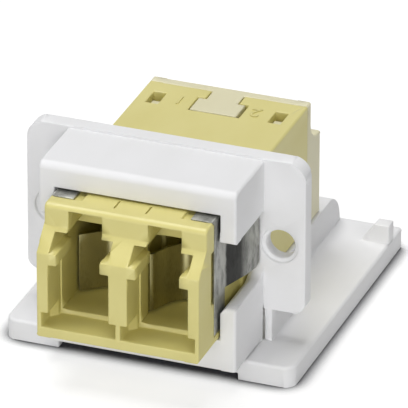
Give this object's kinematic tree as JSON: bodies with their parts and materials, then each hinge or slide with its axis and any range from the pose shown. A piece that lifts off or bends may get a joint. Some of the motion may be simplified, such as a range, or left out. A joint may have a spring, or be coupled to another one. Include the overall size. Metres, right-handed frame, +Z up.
{
  "type": "lc fibre adapter in a screw-mount carrier",
  "caption": "Duplex fibre adapter with shuttered square ports, held by a steel clip in a moulded carrier with a hood, a screw flange and a flat base plate.",
  "frame": {"origin": "under the middle of the whole, on the plane of the carrier's feet", "axes": "X across the two ports, +Y from the front ports to the rear ports, +Z up from the feet"},
  "size_m": [0.023, 0.0308, 0.0168],
  "materials": {
    "white_moulding": "smooth satin white moulding",
    "beige_moulding": "fine satin beige moulding",
    "pale_beige_moulding": "fine satin pale beige moulding",
    "zirconia": "ground white ceramic",
    "bright_steel": "rolled bright spring steel",
    "leaf_steel": "thin polished spring steel"
  },
  "bodies": {
    "adapter": {"carrier": "white_moulding", "housing": "beige_moulding", "rear_frame": "pale_beige_moulding", "sleeve_holder_front": "beige_moulding", "sleeve_holder_rear": "beige_moulding", "split_sleeve_left": "zirconia", "split_sleeve_right": "zirconia", "spring_clip": "bright_steel", "shutter_pin_left": "bright_steel", "shutter_pin_right": "bright_steel"},
    "left_shutter": {"shutter_left": "leaf_steel"},
    "right_shutter": {"shutter_right": "leaf_steel"}
  },
  "joints": [
    {"name": "left_shutter_hinge", "type": "hinge", "parent": "adapter", "child": "left_shutter", "pos_m": [-0.0006, -0.01103, 0.008], "axis": [0, 0, -1], "range_deg": [0, 28], "stiffness_Nm_per_rad": 0.00001, "springref_deg": -17.19},
    {"name": "right_shutter_hinge", "type": "hinge", "parent": "adapter", "child": "right_shutter", "pos_m": [0.0006, -0.01103, 0.008], "axis": [0, 0, 1], "range_deg": [0, 28], "stiffness_Nm_per_rad": 0.00001, "springref_deg": -17.19}
  ]
}
